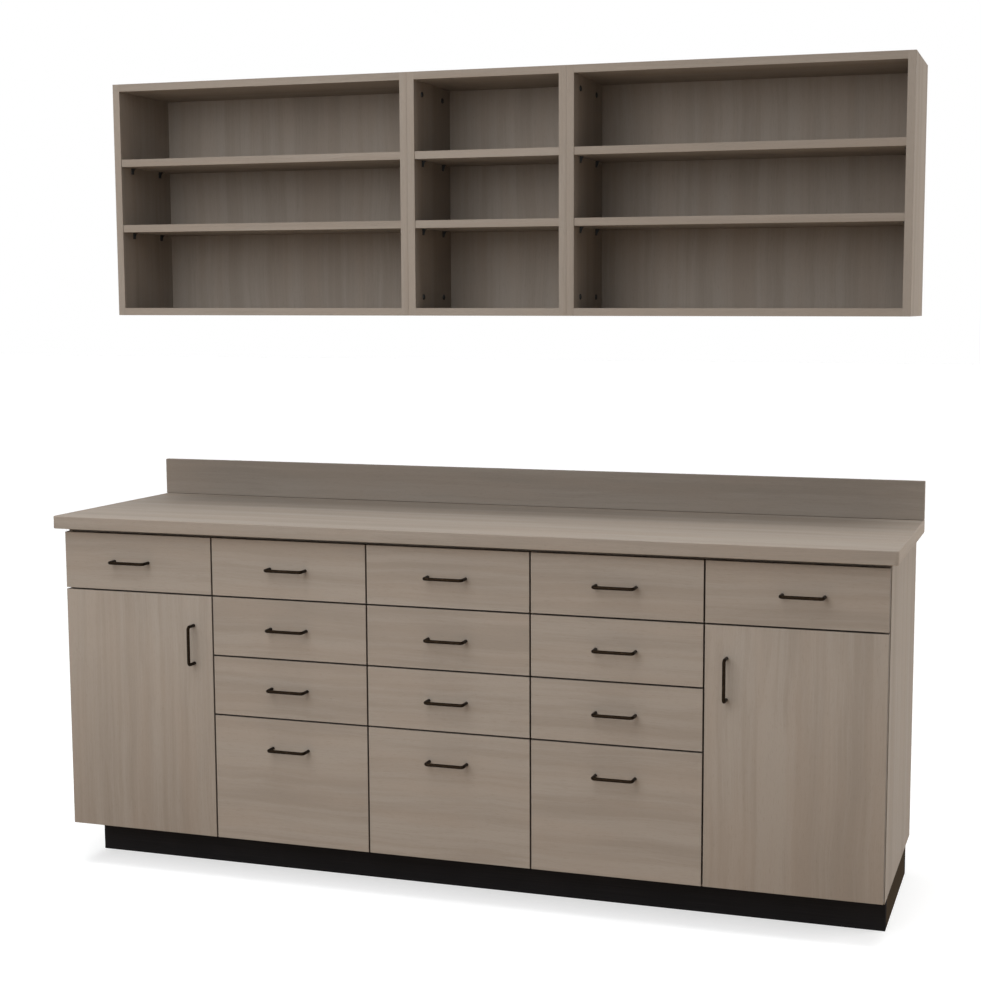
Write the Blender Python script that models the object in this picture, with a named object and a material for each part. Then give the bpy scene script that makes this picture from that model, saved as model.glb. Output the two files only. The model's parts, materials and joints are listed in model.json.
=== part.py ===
"""Pharmacy cabinet with wall shelves: a five column base of drawers and cupboards under a countertop,
and a row of three open shelf units that hangs on the wall above it.

Metres, +Z up, +X to the right, +Y towards the wall. The origin is on the floor, in the middle of the
whole object's box. Every moving piece hangs from an empty on its joint axis.
"""

from math import cos, pi, sin

import bmesh
import bpy
from mathutils import Vector

# Clearance left between two pieces that rest against each other
CONTACT_GAP = 0.0003

# Base cabinet
MODULE_WIDTH = 0.4175
DEPTH = 0.557
PANEL = 0.019
BACK_PANEL = 0.012
RAIL_DEPTH = 0.080
BASE_COLUMNS = 5

# Plinth
PLINTH_HEIGHT = 0.102
PLINTH_RECESS = 0.1255
PLINTH_END_INSET = 0.009
PLINTH_BOARD = 0.019

# Drawer fronts and doors, stacked from the bottom
FRONT_THICKNESS = 0.019
FRONT_STANDOFF = 0.0025
FRONT_LIFT = 0.006
FRONT_SEAM = 0.004
FRONT_END_REVEAL = 0.0015
TOP_FRONT_HEIGHT = 0.1435
SHALLOW_FRONT_HEIGHT = 0.1465
DEEP_FRONT_HEIGHT = 0.3155
TOP_REVEAL = 0.010

# Drawer boxes
BOX_LENGTH = 0.460
BOX_SIDE = 0.012
BOX_FLOOR = 0.008
BOX_LIFT = 0.016
BOX_DROP = 0.030

# Drawer slides: a channel on the cabinet and a bar on the box that runs in it
SLIDE_SPACE = 0.013
SLIDE_HEIGHT = 0.035
SLIDE_LENGTH = 0.450
SLIDE_SETBACK = 0.003
SLIDE_LIFT = 0.020
CHANNEL_WEB = 0.002
CHANNEL_FLANGE = 0.0025
CHANNEL_REACH = 0.011

# Countertop and backsplash
COUNTER_THICKNESS = 0.032
COUNTER_FRONT_OVERHANG = 0.025
COUNTER_END_OVERHANG = 0.019
COUNTER_EDGE_RADIUS = 0.006
BACKSPLASH_HEIGHT = 0.098
BACKSPLASH_THICKNESS = 0.016

# Pulls
PULL_SPAN = 0.096
PULL_DIAMETER = 0.008
PULL_PROJECTION = 0.030
PULL_BEND_RADIUS = 0.007
TOP_PULL_DROP = 0.0707
PULL_DROP = 0.0732
END_PULL_INSET = 0.192
DOOR_PULL_EDGE = 0.0508
DOOR_PULL_DROP = 0.1235

# Concealed hinges, measured from the door's outer edge and front face
HINGE_PIN_INSET = 0.007
HINGE_PIN_DEPTH = 0.0085
HINGE_PIN_DIAMETER = 0.003
HINGE_PIN_LENGTH = 0.028
HINGE_CUP_DIAMETER = 0.035
HINGE_CUP_EDGE = 0.003
HINGE_CUP_FLOOR = 0.0055
HINGE_ARM_WIDTH = 0.010
HINGE_ARM_THICKNESS = 0.004
HINGE_ARM_HEEL = 0.002
HINGE_ARM_LENGTH = 0.062
HINGE_PLATE_THICKNESS = 0.002
HINGE_PLATE_LENGTH = 0.040
HINGE_PLATE_HEIGHT = 0.044
HINGE_ARM_BITE = 0.001
HINGE_END_DISTANCE = 0.090

# Wall units, with the base columns that each one spans
LEFT_UNIT_COLUMNS = 2
MIDDLE_UNIT_COLUMNS = 1
RIGHT_UNIT_COLUMNS = 2
WALL_UNIT_BOTTOM = 1.420
WALL_UNIT_HEIGHT = 0.604
WALL_UNIT_DEPTH = 0.2695
WALL_BACK = 0.019
LOWER_BAY_HEIGHT = 0.200
MIDDLE_BAY_HEIGHT = 0.152
SHELF_SETBACK = 0.002
PEG_DIAMETER = 0.006
PEG_LENGTH = 0.009
PEG_SETBACK = 0.055

# How far a tool that joins or cuts runs past the face that it meets
TOOL_OVERLAP = 0.001

# Facets of round pieces
CUP_SIDES = 32
PIN_SIDES = 16
PEG_SIDES = 12
BEND_STEPS = 4

# Places worked out from the sizes above
BASE_WIDTH = BASE_COLUMNS * MODULE_WIDTH
HALF_WIDTH = BASE_WIDTH / 2
PULL_REACH = PULL_PROJECTION + PULL_DIAMETER / 2
FRONT_Y = (max(PULL_REACH, COUNTER_FRONT_OVERHANG) - DEPTH) / 2
WALL_Y = FRONT_Y + DEPTH
FRONT_BACK_Y = FRONT_Y + FRONT_THICKNESS
CARCASS_Y = FRONT_BACK_Y + FRONT_STANDOFF
BACK_PANEL_Y = WALL_Y - BACK_PANEL
FRONT_BOTTOM_Z = PLINTH_HEIGHT + FRONT_LIFT
DRAWER_STACK = (DEEP_FRONT_HEIGHT, SHALLOW_FRONT_HEIGHT, SHALLOW_FRONT_HEIGHT, TOP_FRONT_HEIGHT)
STACK_HEIGHT = sum(DRAWER_STACK) + FRONT_SEAM * (len(DRAWER_STACK) - 1)
COUNTER_Z = FRONT_BOTTOM_Z + STACK_HEIGHT + TOP_REVEAL
COUNTER_TOP_Z = COUNTER_Z + COUNTER_THICKNESS
CARCASS_TOP_Z = COUNTER_Z - CONTACT_GAP
RAIL_Z = CARCASS_TOP_Z - PANEL
FLOOR_TOP_Z = PLINTH_HEIGHT + PANEL
INNER_X = HALF_WIDTH - PANEL
DOOR_HEIGHT = STACK_HEIGHT - TOP_FRONT_HEIGHT - FRONT_SEAM
SLIDE_BAR_HEIGHT = SLIDE_HEIGHT - 2 * (CHANNEL_FLANGE + CONTACT_GAP)
WALL_FRONT_Y = WALL_Y - WALL_UNIT_DEPTH
WALL_BACK_Y = WALL_Y - WALL_BACK
SHELF_BOTTOMS = (
    WALL_UNIT_BOTTOM + PANEL + LOWER_BAY_HEIGHT,
    WALL_UNIT_BOTTOM + 2 * PANEL + LOWER_BAY_HEIGHT + MIDDLE_BAY_HEIGHT,
)
HINGE_CUP_CENTRE = HINGE_CUP_EDGE + HINGE_CUP_DIAMETER / 2

for leftover in list(bpy.data.objects):
    bpy.data.objects.remove(leftover)

PARTS = bpy.data.collections.new("pharmacy_cabinet_with_wall_shelves")
TOOLS = bpy.data.collections.new("cutters")
for group in (PARTS, TOOLS):
    bpy.context.scene.collection.children.link(group)


def finish(name, colour, roughness, metallic=0.0):
    """A plain Principled material."""
    material = bpy.data.materials.new(name)
    material.use_nodes = True
    shader = material.node_tree.nodes["Principled BSDF"]
    shader.inputs["Base Color"].default_value = (*colour, 1.0)
    shader.inputs["Roughness"].default_value = roughness
    shader.inputs["Metallic"].default_value = metallic
    return material


FRONT_LAMINATE = finish("front_laminate", (0.287, 0.238, 0.195), 0.50)
CARCASS_LAMINATE = finish("carcass_laminate", (0.280, 0.230, 0.190), 0.50)
COUNTER_LAMINATE = finish("counter_laminate", (0.310, 0.265, 0.225), 0.42)
WALL_LAMINATE = finish("wall_unit_laminate", (0.270, 0.223, 0.183), 0.52)
PLINTH_BLACK = finish("plinth_black", (0.012, 0.011, 0.010), 0.60)
PULL_BRONZE = finish("pull_dark_bronze", (0.014, 0.010, 0.008), 0.40, 0.8)
HINGE_NICKEL = finish("hinge_nickel", (0.560, 0.550, 0.530), 0.32, 1.0)


def place(name, data, centre, material, parent=None):
    """Puts new data in the scene with its origin at centre, which is a world point."""
    piece = bpy.data.objects.new(name, data)
    PARTS.objects.link(piece)
    piece.location = Vector(centre)
    if parent:
        piece.parent = parent
        piece.location -= parent.location
    if material:
        data.materials.append(material)
    return piece


def mesh_of(name, shape):
    """The finished bmesh as mesh data."""
    bmesh.ops.recalc_face_normals(shape, faces=shape.faces)
    mesh = bpy.data.meshes.new(name)
    shape.to_mesh(mesh)
    shape.free()
    return mesh


def box(name, low, high, material=None, parent=None):
    """A block between two world corners, given in any order."""
    corners = [sorted(pair) for pair in zip(low, high)]
    shape = bmesh.new()
    bmesh.ops.create_cube(shape, size=1.0)
    bmesh.ops.scale(shape, vec=[end - start for start, end in corners], verts=shape.verts)
    centre = [(start + end) / 2 for start, end in corners]
    return place(name, mesh_of(name, shape), centre, material, parent)


def cylinder(name, centre, axis, diameter, length, sides, parent=None):
    """A round bar centred on a world point, along a unit axis."""
    shape = bmesh.new()
    bmesh.ops.create_cone(
        shape, cap_ends=True, segments=sides, radius1=diameter / 2, radius2=diameter / 2, depth=length
    )
    turn = Vector((0, 0, 1)).rotation_difference(Vector(axis)).to_matrix()
    bmesh.ops.rotate(shape, matrix=turn, verts=shape.verts)
    return place(name, mesh_of(name, shape), centre, None, parent)


def use_tool(piece, tool, operation):
    """Joins a tool to a piece or cuts it away, and puts the tool with the cutters."""
    modifier = piece.modifiers.new(f"{operation.lower()}_{tool.name}", "BOOLEAN")
    modifier.operation = operation
    modifier.solver = "EXACT"
    modifier.object = tool
    PARTS.objects.unlink(tool)
    TOOLS.objects.link(tool)
    tool.hide_render = True
    tool.display_type = "WIRE"


def joint_frame(name, point):
    """An empty on a joint's axis, which its moving pieces hang from."""
    empty = bpy.data.objects.new(name, None)
    PARTS.objects.link(empty)
    empty.empty_display_size = 0.05
    empty.location = point
    return empty


def rounded(piece, radius):
    """Rounds every edge of a block except those of its rear face."""
    shape = bmesh.new()
    shape.from_mesh(piece.data)
    rear = max(vertex.co.y for vertex in shape.verts) - radius
    edges = [edge for edge in shape.edges if min(vertex.co.y for vertex in edge.verts) < rear]
    bmesh.ops.bevel(
        shape, geom=edges, offset=radius, segments=3, profile=0.5, affect="EDGES", clamp_overlap=True
    )
    shape.to_mesh(piece.data)
    shape.free()
    piece.data.shade_smooth()
    piece.data.set_sharp_from_angle(angle=pi / 6)


def column_left(column):
    """The left seam of a base column, counted from 0."""
    return column * MODULE_WIDTH - HALF_WIDTH


def front_span(column):
    """The left and right edges of the fronts of a column."""
    left = column_left(column) + (FRONT_END_REVEAL if column == 0 else FRONT_SEAM / 2)
    is_last = column == BASE_COLUMNS - 1
    right = column_left(column + 1) - (FRONT_END_REVEAL if is_last else FRONT_SEAM / 2)
    return left, right


def opening_span(column):
    """The faces of the two upright panels that a column lies between."""
    left = -INNER_X if column == 0 else column_left(column) + PANEL / 2
    right = INNER_X if column == BASE_COLUMNS - 1 else column_left(column + 1) - PANEL / 2
    return left, right


def front_bottom(row):
    """The lower edge of a drawer front, with row 0 the deep one."""
    return FRONT_BOTTOM_Z + sum(DRAWER_STACK[:row]) + FRONT_SEAM * row


def rows_of(column):
    """The drawer rows in a column: the end columns hold a cupboard under their top drawer."""
    top = len(DRAWER_STACK) - 1
    return (top,) if column in (0, BASE_COLUMNS - 1) else tuple(range(top + 1))


def slide_bottom(row):
    """The underside of the slides of a row."""
    return front_bottom(row) + BOX_LIFT + SLIDE_LIFT


def make_plinth():
    """Four black boards, set back from the fronts and a little from the ends."""
    end = HALF_WIDTH - PLINTH_END_INSET
    front = FRONT_Y + PLINTH_RECESS
    top = PLINTH_HEIGHT - CONTACT_GAP
    box("plinth_front", (-end, front, 0), (end, front + PLINTH_BOARD, top), PLINTH_BLACK)
    box("plinth_rear", (-end, WALL_Y - PLINTH_BOARD, 0), (end, WALL_Y, top), PLINTH_BLACK)
    for name, side in (("left", -1), ("right", 1)):
        box(
            f"plinth_{name}_end",
            (side * (end - PLINTH_BOARD), front + PLINTH_BOARD + CONTACT_GAP, 0),
            (side * end, WALL_Y - PLINTH_BOARD - CONTACT_GAP, top),
            PLINTH_BLACK,
        )


def add_channels(panel, face_x, outward, rows):
    """Joins the fixed slide members of some rows to one face of an upright panel."""
    front = CARCASS_Y + SLIDE_SETBACK
    for row in rows:
        low = slide_bottom(row)
        high = low + SLIDE_HEIGHT
        label = f"{panel.name}_row_{row + 1}_{'right' if outward > 0 else 'left'}"
        channel = box(
            f"channel_{label}",
            (face_x - outward * TOOL_OVERLAP, front, low),
            (face_x + outward * CHANNEL_REACH, front + SLIDE_LENGTH, high),
        )
        groove = box(
            f"groove_{label}",
            (face_x + outward * CHANNEL_WEB, front - TOOL_OVERLAP, low + CHANNEL_FLANGE),
            (
                face_x + outward * (CHANNEL_REACH + TOOL_OVERLAP),
                front + SLIDE_LENGTH + TOOL_OVERLAP,
                high - CHANNEL_FLANGE,
            ),
        )
        use_tool(panel, channel, "UNION")
        use_tool(panel, groove, "DIFFERENCE")


def make_carcass():
    """End panels, partitions with their slide channels, bottom, back and front rail."""
    inner = INNER_X - CONTACT_GAP
    last = BASE_COLUMNS - 1
    box(
        "base_bottom",
        (-inner, CARCASS_Y, PLINTH_HEIGHT),
        (inner, BACK_PANEL_Y - CONTACT_GAP, FLOOR_TOP_Z),
        CARCASS_LAMINATE,
    )
    box("base_back", (-inner, BACK_PANEL_Y, PLINTH_HEIGHT), (inner, WALL_Y, CARCASS_TOP_Z), CARCASS_LAMINATE)
    box(
        "base_front_rail",
        (-inner, CARCASS_Y, RAIL_Z),
        (inner, CARCASS_Y + RAIL_DEPTH, CARCASS_TOP_Z),
        CARCASS_LAMINATE,
    )
    for name, side, column in (("left", -1, 0), ("right", 1, last)):
        panel = box(
            f"base_{name}_end",
            (side * INNER_X, CARCASS_Y, PLINTH_HEIGHT),
            (side * HALF_WIDTH, WALL_Y, CARCASS_TOP_Z),
            CARCASS_LAMINATE,
        )
        add_channels(panel, side * INNER_X, -side, rows_of(column))
    for column in range(last):
        right_face = opening_span(column + 1)[0]
        left_face = opening_span(column)[1]
        panel = box(
            f"base_partition_{column + 1}",
            (left_face, CARCASS_Y, FLOOR_TOP_Z + CONTACT_GAP),
            (right_face, BACK_PANEL_Y - CONTACT_GAP, RAIL_Z - CONTACT_GAP),
            CARCASS_LAMINATE,
        )
        add_channels(panel, left_face, -1, rows_of(column))
        add_channels(panel, right_face, 1, rows_of(column + 1))


def make_counter():
    """The countertop with rounded edges, and the backsplash on its rear edge."""
    end = HALF_WIDTH + COUNTER_END_OVERHANG
    top = box(
        "countertop",
        (-end, FRONT_Y - COUNTER_FRONT_OVERHANG, COUNTER_Z),
        (end, WALL_Y, COUNTER_TOP_Z),
        COUNTER_LAMINATE,
    )
    rounded(top, COUNTER_EDGE_RADIUS)
    box(
        "backsplash",
        (-end, WALL_Y - BACKSPLASH_THICKNESS, COUNTER_TOP_Z + CONTACT_GAP),
        (end, WALL_Y, COUNTER_TOP_Z + BACKSPLASH_HEIGHT),
        COUNTER_LAMINATE,
    )


def pull_path():
    """The centre line of a level pull: a foot, a bend, the bar, a bend and a foot."""
    half = PULL_SPAN / 2
    path = []
    for side in (-1, 1):
        bend = []
        for step in range(BEND_STEPS + 1):
            angle = pi / 2 * step / BEND_STEPS
            along = half - PULL_BEND_RADIUS * (1 - cos(angle))
            out = PULL_PROJECTION - PULL_BEND_RADIUS * (1 - sin(angle))
            bend.append((side * along, -out, 0.0))
        leg = [(side * half, -CONTACT_GAP, 0.0)] + bend
        path += leg if side < 0 else leg[::-1]
    return path


def make_pull(name, foot_centre, upright, parent):
    """A bent wire pull, level or upright, standing on a front."""
    wire = bpy.data.curves.new(name, "CURVE")
    wire.dimensions = "3D"
    wire.bevel_depth = PULL_DIAMETER / 2
    wire.bevel_resolution = 2
    wire.use_fill_caps = True
    path = pull_path()
    spline = wire.splines.new("POLY")
    spline.points.add(len(path) - 1)
    for point, spot in zip(spline.points, path):
        point.co = (*spot, 1.0)
    spline.use_smooth = True
    pull = place(name, wire, foot_centre, PULL_BRONZE, parent)
    pull.rotation_euler.y = pi / 2 if upright else 0.0


def make_drawer(column, row):
    """A drawer front with its box and the two slide bars that run in the channels."""
    label = f"{column + 1}_{len(DRAWER_STACK) - row}"
    left, right = front_span(column)
    bottom = front_bottom(row)
    top = bottom + DRAWER_STACK[row]
    empty = joint_frame(f"drawer_{label}_slide", ((left + right) / 2, FRONT_Y, (bottom + top) / 2))
    drawer = box(
        f"drawer_{label}", (left, FRONT_Y, bottom), (right, FRONT_BACK_Y, top), FRONT_LAMINATE, empty
    )
    open_left, open_right = opening_span(column)
    box_left = open_left + SLIDE_SPACE
    box_right = open_right - SLIDE_SPACE
    box_bottom = bottom + BOX_LIFT
    box_top = top - BOX_DROP
    box_end = FRONT_BACK_Y + BOX_LENGTH
    block = box(
        f"box_{label}",
        (box_left, FRONT_BACK_Y - TOOL_OVERLAP, box_bottom),
        (box_right, box_end, box_top),
        parent=empty,
    )
    hollow = box(
        f"hollow_{label}",
        (box_left + BOX_SIDE, FRONT_BACK_Y + BOX_SIDE, box_bottom + BOX_FLOOR),
        (box_right - BOX_SIDE, box_end - BOX_SIDE, box_top + TOOL_OVERLAP),
        parent=empty,
    )
    use_tool(drawer, block, "UNION")
    use_tool(drawer, hollow, "DIFFERENCE")
    bar_bottom = slide_bottom(row) + CHANNEL_FLANGE + CONTACT_GAP
    bar_front = CARCASS_Y + SLIDE_SETBACK
    for name, face, outward, panel_face in (
        ("left", box_left, -1, open_left),
        ("right", box_right, 1, open_right),
    ):
        bar = box(
            f"slide_bar_{label}_{name}",
            (face - outward * TOOL_OVERLAP, bar_front, bar_bottom),
            (
                panel_face - outward * (CHANNEL_WEB + CONTACT_GAP),
                bar_front + SLIDE_LENGTH,
                bar_bottom + SLIDE_BAR_HEIGHT,
            ),
            parent=empty,
        )
        use_tool(drawer, bar, "UNION")
    pull_x = (left + right) / 2
    if column in (0, BASE_COLUMNS - 1):
        pull_x = (HALF_WIDTH - END_PULL_INSET) * (-1 if column == 0 else 1)
    pull_drop = TOP_PULL_DROP if row == len(DRAWER_STACK) - 1 else PULL_DROP
    make_pull(f"drawer_pull_{label}", (pull_x, FRONT_Y, top - pull_drop), False, empty)


def make_hinge(name, side, door, empty, pin_x, pin_z):
    """One concealed hinge: the cup and pin bore in the door, and the arm, plate and pin on the end panel."""
    door_edge = side * (HALF_WIDTH - FRONT_END_REVEAL)
    pin_y = FRONT_Y + HINGE_PIN_DEPTH
    cup_front = FRONT_Y + HINGE_CUP_FLOOR
    cup_rear = FRONT_BACK_Y + TOOL_OVERLAP
    cup = cylinder(
        f"cup_{name}",
        (door_edge - side * HINGE_CUP_CENTRE, (cup_front + cup_rear) / 2, pin_z),
        (0, 1, 0),
        HINGE_CUP_DIAMETER,
        cup_rear - cup_front,
        CUP_SIDES,
        empty,
    )
    bore = cylinder(
        f"pin_bore_{name}",
        (pin_x, pin_y, pin_z),
        (0, 0, 1),
        HINGE_PIN_DIAMETER + 2 * CONTACT_GAP,
        HINGE_PIN_LENGTH + 2 * CONTACT_GAP,
        PIN_SIDES,
        empty,
    )
    use_tool(door, cup, "DIFFERENCE")
    use_tool(door, bore, "DIFFERENCE")

    plate_face = side * (INNER_X - CONTACT_GAP)
    plate_inner = plate_face - side * HINGE_PLATE_THICKNESS
    arm_outer = plate_inner + side * HINGE_ARM_BITE
    arm_inner = arm_outer - side * HINGE_ARM_THICKNESS
    arm_front = pin_y - HINGE_ARM_THICKNESS / 2
    arm_rear = arm_front + HINGE_ARM_LENGTH
    low = pin_z - HINGE_ARM_WIDTH / 2
    high = pin_z + HINGE_ARM_WIDTH / 2
    hinge = box(f"hinge_{name}", (arm_outer, arm_front, low), (arm_inner, arm_rear, high), HINGE_NICKEL)
    finger = box(
        f"finger_{name}",
        (pin_x + side * HINGE_ARM_HEEL, arm_front, low),
        (arm_inner + side * TOOL_OVERLAP, arm_front + HINGE_ARM_THICKNESS, high),
    )
    plate = box(
        f"plate_{name}",
        (plate_face, arm_rear - HINGE_PLATE_LENGTH, pin_z - HINGE_PLATE_HEIGHT / 2),
        (plate_inner, arm_rear + TOOL_OVERLAP, pin_z + HINGE_PLATE_HEIGHT / 2),
    )
    pin = cylinder(
        f"pin_{name}", (pin_x, pin_y, pin_z), (0, 0, 1), HINGE_PIN_DIAMETER, HINGE_PIN_LENGTH, PIN_SIDES
    )
    for tool in (finger, plate, pin):
        use_tool(hinge, tool, "UNION")


def make_door(name, side, column):
    """A cupboard door that swings on two concealed hinges at its outer edge."""
    left, right = front_span(column)
    top = FRONT_BOTTOM_Z + DOOR_HEIGHT
    pin_x = side * (HALF_WIDTH - FRONT_END_REVEAL - HINGE_PIN_INSET)
    middle_z = (FRONT_BOTTOM_Z + top) / 2
    empty = joint_frame(f"door_{name}_hinge_axis", (pin_x, FRONT_Y + HINGE_PIN_DEPTH, middle_z))
    door = box(
        f"door_{name}",
        (left, FRONT_Y, FRONT_BOTTOM_Z),
        (right, FRONT_BACK_Y, top),
        FRONT_LAMINATE,
        empty,
    )
    lower = FRONT_BOTTOM_Z + HINGE_END_DISTANCE
    upper = top - HINGE_END_DISTANCE
    make_hinge(f"{name}_lower", side, door, empty, pin_x, lower)
    make_hinge(f"{name}_upper", side, door, empty, pin_x, upper)
    free_edge = right if side < 0 else left
    pull_x = free_edge + side * DOOR_PULL_EDGE
    make_pull(f"door_pull_{name}", (pull_x, FRONT_Y, top - DOOR_PULL_DROP), True, empty)


def make_wall_unit(name, left, right):
    """An open shelf unit with pegs in its sides, and the two shelves that rest on them."""
    top = WALL_UNIT_BOTTOM + WALL_UNIT_HEIGHT
    unit = box(
        f"wall_unit_{name}", (left, WALL_FRONT_Y, WALL_UNIT_BOTTOM), (right, WALL_Y, top), WALL_LAMINATE
    )
    hollow = box(
        f"hollow_wall_unit_{name}",
        (left + PANEL, WALL_FRONT_Y - TOOL_OVERLAP, WALL_UNIT_BOTTOM + PANEL),
        (right - PANEL, WALL_BACK_Y, top - PANEL),
    )
    use_tool(unit, hollow, "DIFFERENCE")
    peg_depths = (WALL_FRONT_Y + PEG_SETBACK, WALL_BACK_Y - PEG_SETBACK)
    for shelf, bottom in enumerate(SHELF_BOTTOMS):
        box(
            f"wall_shelf_{name}_{('lower', 'upper')[shelf]}",
            (left + PANEL + CONTACT_GAP, WALL_FRONT_Y + SHELF_SETBACK, bottom),
            (right - PANEL - CONTACT_GAP, WALL_BACK_Y - CONTACT_GAP, bottom + PANEL),
            WALL_LAMINATE,
        )
        peg_z = bottom - CONTACT_GAP - PEG_DIAMETER / 2
        for index, peg_y in enumerate(peg_depths):
            for end, face, inward in (("left", left + PANEL, 1), ("right", right - PANEL, -1)):
                peg = cylinder(
                    f"peg_{name}_{shelf}_{index}_{end}",
                    (face + inward * (PEG_LENGTH - TOOL_OVERLAP) / 2, peg_y, peg_z),
                    (1, 0, 0),
                    PEG_DIAMETER,
                    PEG_LENGTH + TOOL_OVERLAP,
                    PEG_SIDES,
                )
                use_tool(unit, peg, "UNION")


def make_wall_units():
    """The three units side by side, over the whole width of the base."""
    left = -HALF_WIDTH
    for name, columns in (
        ("left", LEFT_UNIT_COLUMNS),
        ("middle", MIDDLE_UNIT_COLUMNS),
        ("right", RIGHT_UNIT_COLUMNS),
    ):
        right = left + columns * MODULE_WIDTH
        make_wall_unit(name, left + CONTACT_GAP / 2, right - CONTACT_GAP / 2)
        left = right


make_plinth()
make_carcass()
make_counter()
for base_column in range(BASE_COLUMNS):
    for drawer_row in rows_of(base_column):
        make_drawer(base_column, drawer_row)
make_door("left", -1, 0)
make_door("right", 1, BASE_COLUMNS - 1)
make_wall_units()
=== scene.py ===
"""Looks of the pharmacy cabinet with wall shelves: its boards, drawers, doors, hardware and a studio.

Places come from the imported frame, in metres: +X to the right, +Y towards the wall, +Z up.
"""

import json
from math import atan2, cos, pi, radians, sin
from random import Random

import bmesh
import bpy
from bpy.props import FloatProperty, FloatVectorProperty, PointerProperty
from bpy.types import Operator, Panel, PropertyGroup
from mathutils import Matrix, Vector

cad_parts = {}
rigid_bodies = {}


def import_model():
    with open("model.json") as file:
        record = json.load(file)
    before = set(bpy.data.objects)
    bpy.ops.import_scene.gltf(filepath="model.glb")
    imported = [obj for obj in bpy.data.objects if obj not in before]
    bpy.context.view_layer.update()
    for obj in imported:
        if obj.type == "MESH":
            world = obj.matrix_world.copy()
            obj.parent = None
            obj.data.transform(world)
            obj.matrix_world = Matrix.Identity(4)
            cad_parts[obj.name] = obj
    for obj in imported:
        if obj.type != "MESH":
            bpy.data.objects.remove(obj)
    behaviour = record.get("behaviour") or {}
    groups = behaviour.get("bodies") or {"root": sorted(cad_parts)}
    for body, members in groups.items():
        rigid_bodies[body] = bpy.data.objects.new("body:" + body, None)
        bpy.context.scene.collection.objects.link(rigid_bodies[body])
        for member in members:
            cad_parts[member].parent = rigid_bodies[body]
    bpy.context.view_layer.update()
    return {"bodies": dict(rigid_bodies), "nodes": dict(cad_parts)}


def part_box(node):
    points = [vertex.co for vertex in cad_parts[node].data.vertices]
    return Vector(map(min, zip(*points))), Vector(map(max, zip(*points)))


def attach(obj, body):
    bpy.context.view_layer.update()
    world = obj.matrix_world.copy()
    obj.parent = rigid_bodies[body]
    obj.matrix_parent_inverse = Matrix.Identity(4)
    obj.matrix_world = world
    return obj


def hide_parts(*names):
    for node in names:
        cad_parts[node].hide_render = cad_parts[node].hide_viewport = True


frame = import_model()

bl_info = {
    "name": "Pharmacy cabinet with wall shelves",
    "version": (1, 0, 0),
    "blender": (4, 5, 0),
    "location": "View3D > Sidebar > Cabinet",
    "description": "Makes the boards, drawers, doors and hardware of a pharmacy cabinet on its frame",
    "category": "Object",
}

# Names in the frame
ROOT = "cabinet"
DRAWERS = sorted(body for body in frame["bodies"] if body.startswith("drawer_"))
DOORS = {"door_left": -1, "door_right": 1}
PARTITIONS = sorted(node for node in frame["nodes"] if node.startswith("base_partition_"))
WALL_UNITS = ("wall_unit_left", "wall_unit_middle", "wall_unit_right")
ROWS = ("lower", "upper")
LAST_COLUMN = len(PARTITIONS) + 1
X, Y, Z = range(3)
REARWARD = (0, 1, 0)

# How near two places are when they count as one, in metres
FLAT = 1e-5

# How near two points are when they are merged, in metres
WELD = 1e-6

# How far a face's normal lies along an axis when the face counts as square to it, or as a board's end
SQUARE = 0.9999
END = 0.9

# How far from the start of the laminate's pattern a board may be cut, in metres
CUT_RANGE = (1.0, 9.0)

# Where screws sit, as shares of the length that they are spread over
CHANNEL_SCREWS = (0.08, 0.5, 0.92)
BOX_SCREWS = (0.12, 0.88)
HINGE_ARM_SCREWS = (0.30, 0.72)
HINGE_PLATE_SCREWS = (-0.34, 0.34)

# The photograph that the camera is matched to, in its own pixels
PHOTO_SIDE = 981
PHOTO_FOCAL = 1706.6
PHOTO_CENTRE = (560.4, 504.1)


def length(name, text, default):
    """A length that a user may change."""
    return FloatProperty(name=name, description=text, default=default, min=0.0, unit="LENGTH", precision=4)


def colour(name, text, default):
    """A colour that a user may change."""
    return FloatVectorProperty(
        name=name, description=text, default=default, size=3, min=0.0, max=1.0, subtype="COLOR"
    )


def place(name, text, default):
    """A place that a user may change."""
    return FloatVectorProperty(name=name, description=text, default=default, size=3, unit="LENGTH")


def amount(name, text, default):
    """A plain number that a user may change."""
    return FloatProperty(name=name, description=text, default=default, min=0.0)


class BoardSizes(PropertyGroup):
    """Sizes of the boards that the cabinet is built from"""

    panel: length("Board", "Thickness of the end panels, partitions, shelves and rails", 0.019)
    front: length("Front", "Thickness of the drawer fronts and doors", 0.019)
    wall_back: length("Wall unit back", "Thickness of the backs of the wall units", 0.019)
    band: length("Edge band", "Thickness of the band on a board's front edge", 0.001)
    arris: length("Board arris", "Rounding of the edges of a board", 0.0001)
    front_arris: length("Front arris", "Rounding of the edges of drawer fronts and doors", 0.0004)
    counter_arris: length("Countertop arris", "Rounding of the countertop's upper and lower edges", 0.0015)
    counter_corner: length("Countertop corner", "Radius of the countertop's two front corners", 0.010)
    splash_round: length("Backsplash edge", "Rounding of the backsplash's edges", 0.0015)
    plinth_round: length("Plinth edge", "Rounding of the plinth boards' edges", 0.0010)


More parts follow.
